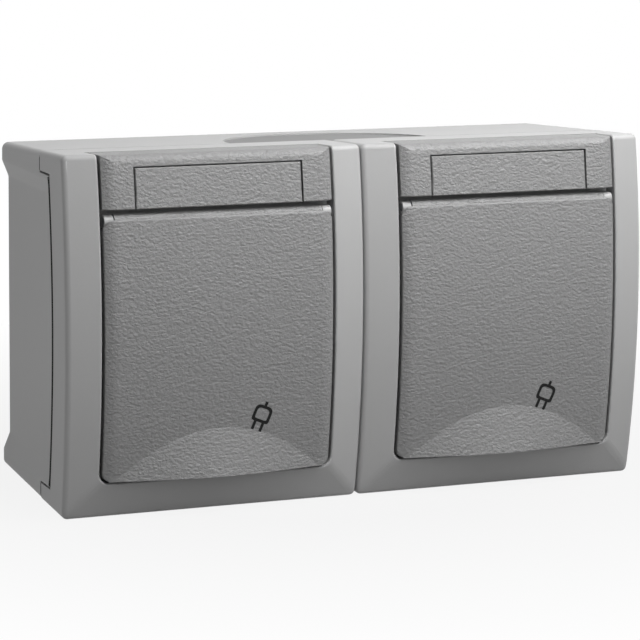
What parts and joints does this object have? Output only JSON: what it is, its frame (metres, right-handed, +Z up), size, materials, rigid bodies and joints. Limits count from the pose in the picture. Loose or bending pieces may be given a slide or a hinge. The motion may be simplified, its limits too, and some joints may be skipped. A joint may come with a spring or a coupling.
{
  "type": "double wall socket with hinged lids",
  "caption": "Surface-mount double wall socket: grey box, barrel-fronted frames, and sprung dark-grey lids with finger lips over round earthed plug recesses.",
  "frame": {"origin": "centre of the back face that lies on the wall", "axes": "+X to the right along both outlets, +Y into the wall, +Z up"},
  "size_m": [0.1412, 0.0557, 0.0804],
  "materials": {
    "housing": "fine satin light grey",
    "lid": "leather-grained dark grey",
    "dish": "satin grey",
    "insert": "soft matt grey",
    "seal": "soft matt black",
    "carrier": "off-white thermoset",
    "steel": "bright zinc",
    "brass": "bright stamped",
    "earth": "nickel-plated strip"
  },
  "bodies": {
    "housing": {"back_box": "housing", "cable_entry_insert": "insert", "left_front_frame": "housing", "left_hinge_cover": "lid", "left_label_cover": "lid", "left_hinge_pin": "steel", "left_lid_spring": "steel", "left_socket_dish": "dish", "left_cover_seal": "seal", "left_dish_screw": "steel", "left_socket_base": "carrier", "left_live_contact": "brass", "left_neutral_contact": "brass", "left_earth_strap": "earth", "left_terminal_screws": "steel", "left_base_screws": "steel", "right_front_frame": "housing", "right_hinge_cover": "lid", "right_label_cover": "lid", "right_hinge_pin": "steel", "right_lid_spring": "steel", "right_socket_dish": "dish", "right_cover_seal": "seal", "right_dish_screw": "steel", "right_socket_base": "carrier", "right_live_contact": "brass", "right_neutral_contact": "brass", "right_earth_strap": "earth", "right_terminal_screws": "steel", "right_base_screws": "steel"},
    "left_lid_body": {"left_lid": "lid", "left_lid_seal": "seal"},
    "right_lid_body": {"right_lid": "lid", "right_lid_seal": "seal"}
  },
  "joints": [
    {"name": "left_lid_hinge", "type": "hinge", "parent": "housing", "child": "left_lid_body", "pos_m": [-0.0355, -0.05118, 0.0258], "axis": [-1, 0, 0], "range_deg": [0, 95], "stiffness_Nm_per_rad": 0.005, "springref_deg": -34.38},
    {"name": "right_lid_hinge", "type": "hinge", "parent": "housing", "child": "right_lid_body", "pos_m": [0.0355, -0.05118, 0.0258], "axis": [-1, 0, 0], "range_deg": [0, 95], "stiffness_Nm_per_rad": 0.005, "springref_deg": -34.38}
  ]
}
